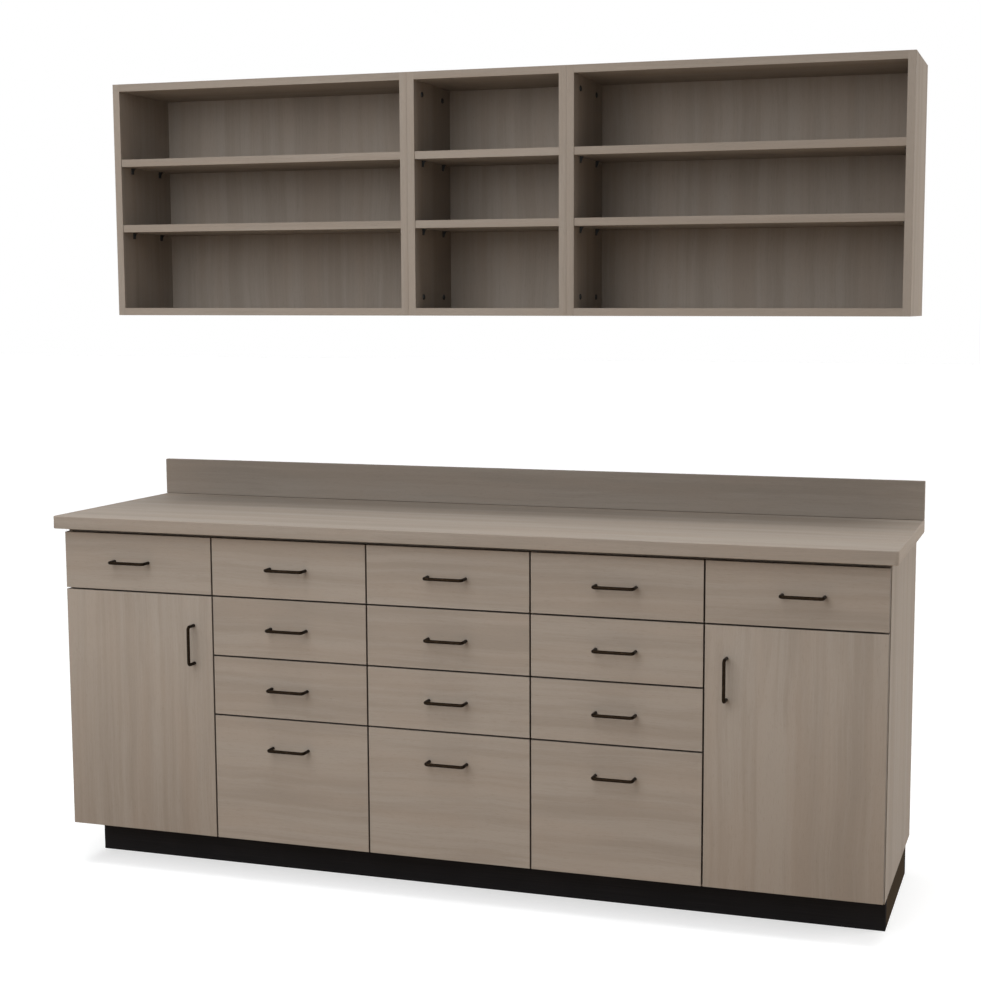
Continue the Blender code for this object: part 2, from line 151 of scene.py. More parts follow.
class DrawerSizes(PropertyGroup):
    """Sizes of the drawer boxes and their slides"""

    side: length("Box side", "Thickness of a drawer box's sides", 0.012)
    floor: length("Box floor", "Thickness of a drawer box's floor", 0.008)
    lift: length("Box lift", "Height of a box's floor over the lower edge of its front", 0.016)
    drop: length("Box drop", "Depth of a box's rim below the upper edge of its front", 0.030)
    rim: length("Box rim", "Rounding of a drawer box's edges", 0.0012)
    slide_space: length("Slide space", "Room for a slide between a box and an upright board", 0.013)
    slide_lift: length("Slide lift", "Height of a slide over the underside of its box", 0.020)
    slide_height: length("Slide height", "Height of a fixed slide channel", 0.035)
    slide_length: length("Slide length", "Length of a slide", 0.450)
    slide_setback: length("Slide setback", "Distance of a slide behind the front edge of its board", 0.003)
    channel_reach: length("Channel reach", "Depth of a fixed slide channel", 0.011)
    bar_play: length("Bar play", "Room round a running bar in its channel", 0.0028)
    sheet: length("Slide sheet", "Thickness of the slides' sheet metal", 0.0012)
    fold: length("Slide fold", "Radius of the slides' folds", 0.0016)
    screw_row: length("Screw row", "Distance of a box's screws from its floor and from its rim", 0.020)


class HardwareSizes(PropertyGroup):
    """Sizes of the pulls, hinges, shelf supports and fasteners"""

    pull_diameter: length("Pull wire", "Diameter of a pull's wire", 0.008)
    pull_bend: length("Pull bend", "Bend radius of a pull at the middle of its wire", 0.007)
    screw_head: length("Screw head", "Diameter of a screw's head", 0.0075)
    screw_height: length("Screw height", "Height of a screw's head", 0.0018)
    bolt_head: length("Bolt head", "Diameter of the bolts that join two wall units", 0.014)
    bolt_height: length("Bolt height", "Height of the head of a joining bolt", 0.0028)
    bolt_from_top: length("Bolt below top", "Depth of the upper bolts below the top board", 0.031)
    bolt_from_bottom: length("Bolt above bottom", "Height of the lower bolts over the bottom board", 0.028)
    support_setback: length("Support setback", "Distance of a shelf support from front and back", 0.055)
    support_width: length("Support width", "Width of a shelf support", 0.011)
    support_height: length("Support height", "Height of a shelf support's plate", 0.016)
    support_reach: length("Support reach", "Length of a shelf support's seat under the shelf", 0.0085)
    support_wall: length("Support wall", "Thickness of a shelf support's plate and seat", 0.0022)
    support_round: length("Support edge", "Rounding of a shelf support's plate and seat", 0.0006)
    support_taper: amount("Support taper", "Share by which a support's web narrows at its foot", 0.75)
    cup: length("Hinge cup", "Diameter of a hinge cup", 0.035)
    cup_edge: length("Hinge cup edge", "Distance of a hinge cup from the edge of its door", 0.003)
    cup_floor: length("Hinge cup floor", "Distance of a cup's floor from the front of its door", 0.0055)
    cup_wall: length("Hinge cup wall", "Wall thickness of a hinge cup", 0.0008)
    ear: length("Cup ear", "Diameter of the two screwed ears of a hinge cup", 0.013)
    ear_height: length("Cup ear height", "Thickness of a hinge cup's ears", 0.0011)
    ear_gap: length("Cup ear gap", "Distance of an ear's middle from the rim of its cup", 0.005)
    ear_shift: length("Cup ear shift", "How far the ears sit past the middle of their cup", 0.004)
    ear_screw: length("Ear screw", "Diameter of the screws in a cup's ears", 0.00675)
    ear_screw_height: length("Ear screw height", "Height of the screws in a cup's ears", 0.0009)
    ear_screw_seat: length("Ear screw seat", "Height of an ear screw's seat over its door", 0.0009)
    hinge_plate: length("Hinge plate", "Thickness of a hinge's mounting plate", 0.002)
    hinge_plate_length: length("Hinge plate length", "Length of a hinge's mounting plate", 0.040)
    hinge_arm: length("Hinge arm", "Thickness of a hinge's arm", 0.004)
    hinge_arm_width: length("Hinge arm width", "Width of a hinge's arm", 0.010)
    hinge_lap: length("Hinge lap", "Step or overlap between a hinge's plate, arm and finger", 0.001)
    hinge_plate_round: length("Hinge plate edge", "Rounding of a hinge's mounting plate", 0.0008)
    hinge_arm_round: length("Hinge arm edge", "Rounding of a hinge's arm", 0.0012)
    finger_round: length("Hinge finger edge", "Rounding of the finger between arm and pin", 0.0010)
    finger_end: length("Hinge finger end", "Distance of the finger's end from the middle of the pin", 0.002)
    arm_screw: length("Arm screw", "Diameter of the screws in a hinge's arm", 0.0068)
    arm_screw_height: length("Arm screw height", "Height of the screws in a hinge's arm", 0.0012)
    hinge_pin: length("Hinge pin", "Diameter of a hinge's pin", 0.003)
    hinge_pin_length: length("Hinge pin length", "Length of a hinge's pin", 0.028)
    pin_inset: length("Hinge pin inset", "Distance of the hinge pin from its door's edge", 0.007)
    pin_depth: length("Hinge pin depth", "Distance of the hinge pin from the front of its door", 0.0085)
    bumper: length("Bumper", "Diameter of the bumpers behind a door", 0.009)
    bumper_height: length("Bumper height", "Height of the bumpers behind a door", 0.002)
    bumper_round: length("Bumper edge", "Rounding of a bumper's rim", 0.0007)
    bumper_inset: length("Bumper inset", "Distance of a bumper from its door's top or bottom", 0.030)
    bumper_edge: length("Bumper to edge", "Distance of a bumper from its door's free edge", 0.0065)
    small_arris: length("Small arris", "Rounding of cup ears, hinge pins and support webs", 0.0003)


class FinishColours(PropertyGroup):
    """Colours of the finishes"""

    laminate_light: colour("Laminate light", "Pale grain of the laminate", (0.317, 0.274, 0.233))
    laminate_dark: colour("Laminate dark", "Dark grain of the laminate", (0.273, 0.232, 0.194))
    laminate_warm: colour("Laminate warm", "Reddish patches of the laminate", (0.312, 0.256, 0.209))
    laminate_pore: colour("Laminate pores", "Short dark pores in the grain", (0.170, 0.135, 0.105))
    # Painted light: the drawer fronts and doors are the same laminate as the other boards, scaled paler for
    # the light that falls on them
    front_tone: amount("Front tone", "Paleness of drawer fronts and doors beside other boards", 1.18)
    # Painted shade: the narrow edges of drawer fronts and doors are darkened for the shade in the seams
    # between them
    rim_painted_shading: amount("Front edge tone", "Paleness of the narrow edges of drawer fronts and doors", 0.62)
    # Painted light: the countertop is scaled paler than the other boards for the light on its top and front
    # edge
    counter_painted_light: amount("Counter tone", "Paleness of the countertop beside other boards", 1.09)
    # Painted light: the bands on the boards' front edges are scaled paler for the light that catches them
    # beside the shaded insides
    band_painted_light: amount("Edge band tone", "Paleness of the bands on the front edges of the boards", 1.045)
    # Painted shade: the backsplash is scaled darker for the shade under the wall units
    splash_painted_shade: amount("Backsplash tone", "Paleness of the backsplash beside other boards", 0.91)
    melamine: colour("Box melamine", "Lining board of the drawer boxes", (0.640, 0.625, 0.595))
    plinth: colour("Plinth", "Black boards under the base", (0.0270, 0.0255, 0.0265))
    plinth_end: colour("Plinth ends", "Dark brown boards at the plinth's ends", (0.0630, 0.0485, 0.0350))
    bronze: colour("Pulls", "Dark bronze of the pulls", (0.0130, 0.0083, 0.0050))
    bronze_rub: colour("Pull wear", "Lighter bronze where a pull is rubbed", (0.0270, 0.0175, 0.0105))
    nickel: colour("Hinges", "Nickel of the hinges", (0.560, 0.545, 0.520))
    zinc: colour("Slides", "Zinc of the slides and screws", (0.520, 0.530, 0.540))
    plastic: colour("Supports", "Black plastic of the shelf supports and bolts", (0.0080, 0.0078, 0.0075))
    rubber: colour("Bumpers", "Grey rubber of the door bumpers", (0.120, 0.118, 0.115))
    floor: colour("Floor", "Pale studio floor", (0.560, 0.560, 0.560))
    floor_bounce: colour("Floor bounce", "Colour that the floor throws back", (0.390, 0.310, 0.240))


class StudioSettings(PropertyGroup):
    """Camera and light of the studio"""

    camera_place: place("Camera", "Place of the camera", (1.4526, -4.0124, 1.4435))
    camera_turn: FloatProperty(
        name="Turn", description="Camera's turn to the left", default=radians(17.3125), unit="ROTATION"
    )
    camera_dip: FloatProperty(
        name="Dip", description="Camera's dip below the horizon", default=radians(6.611), unit="ROTATION"
    )
    sensor: amount("Sensor", "Width of the camera's sensor in millimetres", 36.0)
    sky_left: amount("Left sky", "Strength of the sky near the horizon at the left", 1.1)
    sky_right: amount("Right sky", "Strength of the sky at mid height at the right", 0.32)
    sky_top: amount("Top sky", "Strength of the sky straight overhead", 10.8)
    sky_focus: amount("Sky focus", "How narrow the bright patch overhead is", 22.0)
    sky_fall: amount("Sky fall", "How fast the sky darkens behind the cabinet", 3.5)
    front_lamp: amount("Front lamp", "Power of the lamp at the front left in watts", 65.0)
    front_lamp_place: place("Front lamp place", "Place of the lamp at the front left", (-0.75, -2.8, 2.75))
    front_lamp_aim: place("Front lamp aim", "Spot that the front lamp points at", (-0.2, -0.26, 1.1))
    front_lamp_colour: colour("Front lamp colour", "Light of the front lamp", (0.95, 0.975, 1.0))
    fill_lamp: amount("Fill lamp", "Power of the low lamp in front in watts", 7.0)
    fill_lamp_place: place("Fill lamp place", "Place of the low lamp in front", (-0.9, -4.4, 1.65))
    fill_lamp_aim: place("Fill lamp aim", "Spot that the fill lamp points at", (-0.2, -0.26, 1.1))
    fill_lamp_colour: colour("Fill lamp colour", "Light of the fill lamp", (0.96, 0.98, 1.0))
    right_lamp: amount("Right lamp", "Power of the lamp at the right in watts", 75.0)
    right_lamp_place: place("Right lamp place", "Place of the lamp at the right", (4.2, 0.9, 1.6))
    right_lamp_aim: place("Right lamp aim", "Spot that the right lamp points at", (1.0, 0.0, 1.0))
    right_lamp_colour: colour("Right lamp colour", "Light of the right lamp", (1.0, 0.99, 0.97))
    lamp_size: length("Lamp size", "Width of the lamps", 2.8)
    floor_glow: amount("Floor glow", "Light that makes the open floor look white", 0.60)
    floor_size: length("Floor size", "Half width of the floor", 40.0)


# Solids


def mark_creases(shape, angle=radians(38)):
    """Keeps an edge sharp where its two faces meet at more than an angle."""
    for edge in shape.edges:
        edge.smooth = edge.is_manifold and edge.calc_face_angle() < angle


def mark_flats(shape):
    """Keeps the flat faces of a block flat beside its rounded edges."""
    shape.normal_update()
    for edge in shape.edges:
        edge.smooth = not any(max(map(abs, face.normal)) > SQUARE for face in edge.link_faces)


def round_edges(shape, edges, radius, segments):
    """Rounds some edges of a bmesh."""
    bmesh.ops.bevel(
        shape,
        geom=edges,
        offset=radius,
        offset_type="OFFSET",
        affect="EDGES",
        segments=segments,
        profile=0.5,
        material=-1,
        clamp_overlap=True,
    )


def sharp_block(low, high):
    """A block between two corners, before its edges are rounded."""
    low, high = Vector(map(min, low, high)), Vector(map(max, low, high))
    shape = bmesh.new()
    bmesh.ops.create_cube(shape, size=1.0)
    bmesh.ops.scale(shape, vec=high - low, verts=shape.verts[:])
    bmesh.ops.translate(shape, vec=(low + high) / 2, verts=shape.verts[:])
    return shape


def block(low, high, radius, segments=3):
    """A block between two corners with all its edges rounded."""
    shape = sharp_block(low, high)
    round_edges(shape, shape.edges[:], radius, segments)
    mark_flats(shape)
    return shape


def top_slab(low, high, corner, arris, sharp=radians(60)):
    """A slab with round front corners and eased edges, left square at its rear face."""
    shape = sharp_block(low, high)
    front = [edge for edge in shape.edges if max(vert.co.y for vert in edge.verts) < low.y + FLAT]
    uprights = [edge for edge in front if abs(edge.verts[0].co.z - edge.verts[1].co.z) > FLAT]
    round_edges(shape, uprights, corner, segments=8)
    open_edges = [edge for edge in shape.edges if min(vert.co.y for vert in edge.verts) < high.y - FLAT]
    rims = [edge for edge in open_edges if edge.calc_face_angle() > sharp]
    round_edges(shape, rims, arris, segments=3)
    mark_flats(shape)
    return shape


def stand_along(shape, start, out):
    """Turns what was made round +Z to point along out, and moves it to start."""
    turn = Vector((0, 0, 1)).rotation_difference(Vector(out)).to_matrix()
    bmesh.ops.rotate(shape, cent=(0, 0, 0), matrix=turn, verts=shape.verts[:])
    bmesh.ops.translate(shape, vec=start, verts=shape.verts[:])
    return shape


def upright_rod(diameter, height, sides):
    """A round bar from the origin up, and its upper face."""
    shape = bmesh.new()
    bmesh.ops.create_cone(
        shape, cap_ends=True, segments=sides, radius1=diameter / 2, radius2=diameter / 2, depth=height
    )
    bmesh.ops.translate(shape, vec=(0, 0, height / 2), verts=shape.verts[:])
    return shape, max(shape.faces, key=lambda face: face.calc_center_median().z)


def rod(start, out, diameter, height, chamfer=0.0, sides=24):
    """A round bar that stands on a point, with its free rim eased."""
    shape, top = upright_rod(diameter, height, sides)
    if chamfer:
        round_edges(shape, top.edges[:], chamfer, segments=2)
    mark_creases(shape)
    return stand_along(shape, start, out)


def domed_head(diameter, height, sides, dome, segments):
    """An upright round head with its rim rounded over a share of its height, and its flat top."""
    shape, top = upright_rod(diameter, height, sides)
    round_edges(shape, top.edges[:], height * dome, segments)
    top = max(shape.faces, key=lambda face: (round(face.calc_center_median().z, 6), face.calc_area()))
    return shape, top


def inset(shape, face, thickness, depth=0.0):
    """Insets a face and sinks or lifts its middle, which stays the same face."""
    bmesh.ops.inset_individual(shape, faces=[face], thickness=thickness, depth=depth)


def screw(seat, out, diameter, height, ring=0.06, arm=0.62, waist=0.30, draft=0.01, sink=0.7):
    """A domed screw head with a cross recess, on a face; the recess is given in shares of the head."""
    shape, top = domed_head(diameter, height, sides=24, dome=0.6, segments=3)
    inset(shape, top, diameter * ring)
    half_arm = radians(16)
    for vert in top.verts:
        bearing = atan2(vert.co.y, vert.co.x) % (pi / 2)
        on_arm = min(bearing, pi / 2 - bearing) < half_arm
        vert.co.xy = vert.co.xy.normalized() * diameter / 2 * (arm if on_arm else waist)
    inset(shape, top, diameter * draft, -height * sink)
    mark_creases(shape)
    return stand_along(shape, seat, out)


def cap_bolt(seat, out, diameter, height, ring=0.19, draft=0.01, sink=0.6):
    """A low round bolt head with a socket in its middle, on a face; the socket is in shares of the head."""
    shape, top = domed_head(diameter, height, sides=32, dome=0.75, segments=4)
    inset(shape, top, diameter * ring)
    inset(shape, top, diameter * draft, -height * sink)
    mark_creases(shape)
    return stand_along(shape, seat, out)


def dish(seat, out, diameter, depth, wall):
    """A round cup that opens along out, with its rim at seat."""
    shape, top = upright_rod(diameter, depth, sides=40)
    bmesh.ops.translate(shape, vec=(0, 0, -depth), verts=shape.verts[:])
    inset(shape, top, wall)
    inset(shape, top, wall, wall - depth)
    mark_creases(shape)
    return stand_along(shape, seat, out)


def folded_strip(profile, start, end, sheet, fold):
    """Sheet metal folded along a line of X and Z points, running from start to end along Y."""
    shape = bmesh.new()
    verts = [shape.verts.new((x, start, z)) for x, z in profile]
    edges = [shape.edges.new(pair) for pair in zip(verts, verts[1:])]
    made = bmesh.ops.extrude_edge_only(shape, edges=edges)["geom"]
    moved = [item for item in made if isinstance(item, bmesh.types.BMVert)]
    bmesh.ops.translate(shape, vec=(0, end - start, 0), verts=moved)
    bends = [edge for edge in shape.edges if len(edge.link_faces) == 2]
    round_edges(shape, bends, fold, segments=3)
    bmesh.ops.recalc_face_normals(shape, faces=shape.faces[:])
    bmesh.ops.solidify(shape, geom=shape.faces[:], thickness=sheet)
    bmesh.ops.recalc_face_normals(shape, faces=shape.faces[:])
    mark_creases(shape)
    return shape


def bent_wire(span, projection, bend, diameter, sides=20, steps=8):
    """A level pull round the origin: two feet on the plane Y = 0 and a bar in front of them."""
    shape = bmesh.new()
    bmesh.ops.create_circle(shape, cap_ends=True, segments=sides, radius=diameter / 2)
    quarter = Matrix.Rotation(pi / 2, 3, "X")
    bmesh.ops.rotate(shape, cent=(0, 0, 0), matrix=quarter, verts=shape.verts[:])
    bmesh.ops.translate(shape, vec=(-span / 2, 0, 0), verts=shape.verts[:])
    shape.faces.ensure_lookup_table()
    tip = shape.faces[0]
    leg = Vector((0, bend - projection, 0))
    bar = Vector((span - 2 * bend, 0, 0))
    corner = Vector((span / 2 - bend, bend - projection, 0))
    for run, centre in ((leg, (-corner.x, corner.y, 0)), (bar, corner), (-leg, None)):
        tip = drawn_out(shape, tip, run)
        if centre is not None:
            tip = turned_round(shape, tip, centre, steps)
    bmesh.ops.recalc_face_normals(shape, faces=shape.faces[:])
    mark_creases(shape)
    return shape


def drawn_out(shape, face, run):
    """Extrudes a face by a run and gives its new end."""
    made = bmesh.ops.extrude_face_region(shape, geom=[face])["geom"]
    moved = [item for item in made if isinstance(item, bmesh.types.BMVert)]
    bmesh.ops.translate(shape, vec=run, verts=moved)
    return next(item for item in made if isinstance(item, bmesh.types.BMFace))


def turned_round(shape, face, centre, steps):
    """Spins a face a quarter turn to the right round an upright axis and gives its new end."""
    made = bmesh.ops.spin(
        shape,
        geom=[face],
        cent=centre,
        axis=(0, 0, 1),
        dvec=(0, 0, 0),
        angle=pi / 2,
        steps=steps,
        use_merge=False,
        use_duplicate=False,
    )["geom_last"]
    return next(item for item in made if isinstance(item, bmesh.types.BMFace))


class Piece:
    """A piece of the cabinet, put together from solids that each have a finish."""

    def __init__(self, name):
        self.name = name
        self.shape = bmesh.new()
        self.materials = []
        self.chance = Random(name)

    def slot_of(self, material):
        """The slot of a material, added when it is new."""
        if material not in self.materials:
            self.materials.append(material)
        return self.materials.index(material)

    def add(self, solid, material):
        """Joins a solid with one finish all over."""
        slot = self.slot_of(material)
        for face in solid.faces:
            face.material_index = slot
        self.join(solid)

    def add_laminate(self, solid, along, tone=1.0, rim_painted_shading=None):
        """Joins a block of laminated board whose grain runs along one axis, and along its own edges.

        The tone is the paleness of its front and rear faces, and the rim shading that of the edges between;
        above 1 they are painted light, below 1 painted shade.
        """
        reach = [
            max(vert.co[axis] for vert in solid.verts) - min(vert.co[axis] for vert in solid.verts)
            for axis in (X, Y, Z)
        ]
        across = max((axis for axis in (X, Y, Z) if axis != along), key=lambda axis: reach[axis])
        main = self.slot_of(laminate(along))
        ends = self.slot_of(laminate(across))
        for face in solid.faces:
            face.material_index = ends if abs(face.normal[along]) > END else main
        self.join(solid, tone, rim_painted_shading or tone)

    def join(self, solid, tone=1.0, rim_painted_shading=1.0):
        """Joins a solid to the piece, with its own cut from the pattern of the laminate."""
        cuts = solid.verts.layers.float_vector.new("cut")
        painted_shading_layer = solid.verts.layers.float.new("tone")
        cut = Vector(self.chance.uniform(*CUT_RANGE) for _ in range(3))
        near = min(vert.co.y for vert in solid.verts)
        far = max(vert.co.y for vert in solid.verts)
        # Painted light and shade: each point carries the tone that scales the laminate's colour, with the
        # rim shading on the edges
        for vert in solid.verts:
            on_face = min(vert.co.y - near, far - vert.co.y) < FLAT
            vert[cuts] = cut
            vert[painted_shading_layer] = tone if on_face else rim_painted_shading
        for face in solid.faces:
            face.smooth = True
        mesh = bpy.data.meshes.new("solid")
        solid.to_mesh(mesh)
        solid.free()
        self.shape.from_mesh(mesh)
        bpy.data.meshes.remove(mesh)

    def turn(self, matrix):
        """Turns all that the piece holds round the origin."""
        bmesh.ops.rotate(self.shape, cent=(0, 0, 0), matrix=matrix, verts=self.shape.verts[:])

    def shift(self, step):
        """Moves all that the piece holds."""
        bmesh.ops.translate(self.shape, vec=step, verts=self.shape.verts[:])

    def place(self, body, slot=None, nodes=()):
        """Puts the finished piece in the scene, riding on a body and standing for some nodes."""
        mesh = bpy.data.meshes.new(self.name)
        self.shape.to_mesh(mesh)
        self.shape.free()
        for material in self.materials:
            mesh.materials.append(material)
        piece = bpy.data.objects.new(self.name, mesh)
        bpy.context.scene.collection.objects.link(piece)
        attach(piece, body)
        if nodes:
            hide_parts(*nodes)


# Finishes


class Shade:
    """A node's output; arithmetic on it adds Math nodes."""

    def __init__(self, paint, socket):
        self.paint = paint
        self.socket = socket

    def beside(self, output):
        """Another output of the same node."""
        return Shade(self.paint, self.socket.node.outputs[output])

    def maths(self, operation, first, second):
        """The result of a Math node."""
        return self.paint.node("ShaderNodeMath", {"operation": operation}, {0: first, 1: second})

    def __add__(self, other):
        return self.maths("ADD", self, other)

    def __radd__(self, other):
        return self.maths("ADD", other, self)

    def __sub__(self, other):
        return self.maths("SUBTRACT", self, other)

    def __rsub__(self, other):
        return self.maths("SUBTRACT", other, self)

    def __mul__(self, other):
        return self.maths("MULTIPLY", self, other)

    def __rmul__(self, other):
        return self.maths("MULTIPLY", other, self)


class Paint:
    """The nodes of one finish, or of the world."""

    def __init__(self, owner):
        owner.use_nodes = True
        self.tree = owner.node_tree
        self.tree.nodes.clear()

    def node(self, kind, settings=None, sockets=None, output=0):
        """Adds a node: first its settings, then the values or links of its sockets."""
        made = self.tree.nodes.new(kind)
        for key, value in (settings or {}).items():
            setattr(made, key, value)
        for key, value in (sockets or {}).items():
            if isinstance(value, Shade):
                self.tree.links.new(value.socket, made.inputs[key])
            else:
                made.inputs[key].default_value = value
        return Shade(self, made.outputs[output]) if made.outputs else None

    def noise(self, spot, scale, detail, output="Fac"):
        """Even noise at a place, with a number of lumps for each metre."""
        return self.node(
            "ShaderNodeTexNoise", {}, {"Vector": spot, "Scale": scale, "Detail": detail}, output
        )

    def streaks(self, spot, along, run, width, detail):
        """Noise drawn out along one axis, with the length and the width of a streak in metres."""
        scale = [1 / width] * 3
        scale[along] = 1 / run
        drawn = self.node("ShaderNodeMapping", {}, {"Vector": spot, "Scale": scale})
        return self.noise(drawn, 1.0, detail)

    def ramp(self, value, low, high):
        """0 below low and 1 above high, smoothly."""
        settings = {"interpolation_type": "SMOOTHSTEP"}
        sockets = {"Value": value, "From Min": low, "From Max": high}
        return self.node("ShaderNodeMapRange", settings, sockets)

    def larger(self, first, second):
        """The larger one of two values."""
        return self.node("ShaderNodeMath", {"operation": "MAXIMUM"}, {0: first, 1: second})

    def mix(self, factor, first, second):
        """A colour between two others."""
        sockets = {0: factor, 6: paint_colour(first), 7: paint_colour(second)}
        return self.node("ShaderNodeMix", {"data_type": "RGBA"}, sockets, 2)

    def bump(self, height, strength, distance):
        """A normal from a height."""
        return self.node(
            "ShaderNodeBump", {}, {"Height": height, "Strength": strength, "Distance": distance}
        )

    def surface(self, sockets):
        """The finish's shader and output."""
        shader = self.node("ShaderNodeBsdfPrincipled", {}, sockets)
        self.node("ShaderNodeOutputMaterial", {}, {"Surface": shader})


def paint_colour(value):
    """A colour as a socket takes it."""
    return value if isinstance(value, Shade) else (*value, 1.0)


def object_spot(paint):
    """Places on a piece, in metres."""
    return paint.node("ShaderNodeTexCoord", {}, {}, "Object")


def paint_laminate(paint, colours, along):
    """Wood-grain laminate: soft bands, fine fibres and short pores along one axis."""
    cut = paint.node("ShaderNodeAttribute", {"attribute_name": "cut"}, {}, "Vector")
    spot = paint.node("ShaderNodeVectorMath", {"operation": "ADD"}, {0: object_spot(paint), 1: cut})
    lumps = paint.noise(spot, scale=2.6, detail=2.0, output="Color")
    wander = 0.036
    drift = paint.node(
        "ShaderNodeVectorMath",
        {"operation": "MULTIPLY_ADD"},
        {0: lumps, 1: [wander] * 3, 2: [-wander / 2] * 3},
    )
    bent = paint.node("ShaderNodeVectorMath", {"operation": "ADD"}, {0: spot, 1: drift})
    bands = paint.streaks(bent, along, run=1.80, width=0.055, detail=2.0)
    figure = paint.streaks(bent, along, run=0.95, width=0.014, detail=3.0)
    fibres = paint.streaks(bent, along, run=0.20, width=0.0024, detail=2.0)
    flecks = paint.streaks(bent, along, run=0.020, width=0.0009, detail=1.0)
    pores = paint.ramp(flecks, low=0.60, high=0.72)
    tone = paint.ramp(bands * 0.50 + figure * 0.32 + fibres * 0.18, low=0.39, high=0.61)
    grain = paint.mix(tone, colours.laminate_dark, colours.laminate_light)
    patches = paint.streaks(spot, along, run=0.38, width=0.060, detail=2.0)
    blush = paint.ramp(patches, low=0.40, high=0.66)
    warmed = paint.mix(blush * 0.40, grain, colours.laminate_warm)
    printed = paint.mix(pores * 0.22, warmed, colours.laminate_pore)
    # Painted light and shade: the laminate's colour is scaled by the tone stored on the piece
    paleness = paint.node("ShaderNodeAttribute", {"attribute_name": "tone"}, {}, "Fac")
    sheet = paint.node("ShaderNodeVectorMath", {"operation": "SCALE"}, {0: printed, "Scale": paleness})
    paint.surface(
        {
            "Base Color": sheet,
            "Roughness": 0.58 + (fibres - 0.5) * 0.12 + pores * 0.06,
            "Specular IOR Level": 0.04,
            "Normal": paint.bump(fibres * 0.6 - pores * 0.4, strength=0.10, distance=0.0004),
        }
    )


def paint_board(paint, base, mottle, roughness, lumps, bump):
    """A sealed board or moulded plastic: faint mottling and a fine orange peel."""
    spot = object_spot(paint)
    clouds = paint.noise(spot, scale=9.0, detail=3.0)
    peel = paint.noise(spot, scale=lumps, detail=2.0)
    darker = [channel * (1 - mottle) for channel in base]
    cover = paint.ramp(clouds * 0.7 + peel * 0.3, low=0.36, high=0.64)
    paint.surface(
        {
            "Base Color": paint.mix(cover, darker, base),
            "Roughness": roughness + (peel - 0.5) * 0.16,
            "Normal": paint.bump(peel, strength=bump, distance=0.0004),
        }
    )


def paint_metal(paint, base, along, roughness, tarnish):
    """Rolled or plated metal: fine lines along one axis and cloudy tarnish."""
    spot = object_spot(paint)
    lines = paint.streaks(spot, along, run=0.06, width=0.0004, detail=2.0)
    clouds = paint.noise(spot, scale=60.0, detail=3.0)
    darker = [channel * (1 - tarnish) for channel in base]
    paint.surface(
        {
            "Base Color": paint.mix(paint.ramp(clouds, low=0.36, high=0.66), darker, base),
            "Metallic": 1.0,
            "Roughness": roughness + (lines - 0.5) * 0.20 + (clouds - 0.5) * 0.10,
            "Normal": paint.bump(lines, strength=0.06, distance=0.0002),
        }
    )


def paint_bronze(paint, colours):
    """Dark oiled bronze, a little rubbed."""
    spot = object_spot(paint)
    clouds = paint.noise(spot, scale=130.0, detail=4.0)
    specks = paint.noise(spot, scale=1400.0, detail=2.0)
    rubbed = paint.ramp(clouds * 0.7 + specks * 0.3, low=0.50, high=0.68)
    paint.surface(
        {
            "Base Color": paint.mix(rubbed, colours.bronze, colours.bronze_rub),
            "Metallic": 1.0,
            "Roughness": 0.46 + (clouds - 0.5) * 0.20,
            "Normal": paint.bump(specks, strength=0.08, distance=0.0002),
        }
    )


def paint_plinth(paint, base, lift=1.3):
    """Dark board with a faint grain and cloudy wear."""
    spot = object_spot(paint)
    grain = paint.streaks(spot, X, run=0.25, width=0.0016, detail=3.0)
    clouds = paint.noise(spot, scale=7.0, detail=4.0)
    worn = paint.ramp(grain * 0.6 + clouds * 0.4, low=0.40, high=0.72)
    paint.surface(
        {
            "Base Color": paint.mix(worn, base, [channel * lift for channel in base]),
            "Roughness": 0.80 + (clouds - 0.5) * 0.18,
            "Specular IOR Level": 0.0,
            "Normal": paint.bump(grain, strength=0.10, distance=0.0004),
        }
    )


def finish(name):
    """A finish by its name, made when it is first asked for."""
    found = bpy.data.materials.get(name)
    if found:
        return found
    made = bpy.data.materials.new(name)
    paint = Paint(made)
    colours = bpy.context.scene.cabinet_colours
    recipes = {
        "laminate_x": lambda: paint_laminate(paint, colours, X),
        "laminate_y": lambda: paint_laminate(paint, colours, Y),
        "laminate_z": lambda: paint_laminate(paint, colours, Z),
        "box_melamine": lambda: paint_board(
            paint, colours.melamine, mottle=0.06, roughness=0.48, lumps=900.0, bump=0.08
        ),
        "black_board": lambda: paint_plinth(paint, colours.plinth),
        "brown_board": lambda: paint_plinth(paint, colours.plinth_end),
        "dark_bronze": lambda: paint_bronze(paint, colours),
        "bright_nickel": lambda: paint_metal(paint, colours.nickel, Y, roughness=0.30, tarnish=0.12),
        "slide_zinc": lambda: paint_metal(paint, colours.zinc, Y, roughness=0.38, tarnish=0.18),
        "black_plastic": lambda: paint_board(
            paint, colours.plastic, mottle=0.25, roughness=0.50, lumps=1500.0, bump=0.10
        ),
        "bumper_rubber": lambda: paint_board(
            paint, colours.rubber, mottle=0.15, roughness=0.70, lumps=1800.0, bump=0.10
        ),
    }
    recipes[name]()
    return made


def laminate(along):
    """The laminate with its grain along one axis."""
    return finish(f"laminate_{'xyz'[along]}")


# Shared places


def opening(column, panel):
    """The faces of the two upright boards that a base column lies between, counted from 1."""
    if column == 1:
        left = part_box("base_left_end")[0].x + panel
    else:
        low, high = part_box(PARTITIONS[column - 2])
        left = (low.x + high.x + panel) / 2
    if column == LAST_COLUMN:
        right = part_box("base_right_end")[1].x - panel
    else:
        low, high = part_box(PARTITIONS[column - 1])
        right = (low.x + high.x - panel) / 2
    return left, right


def column_of(drawer):
    """The number of the base column that a drawer is in, counted from 1."""
    return int(drawer.split("_")[1])


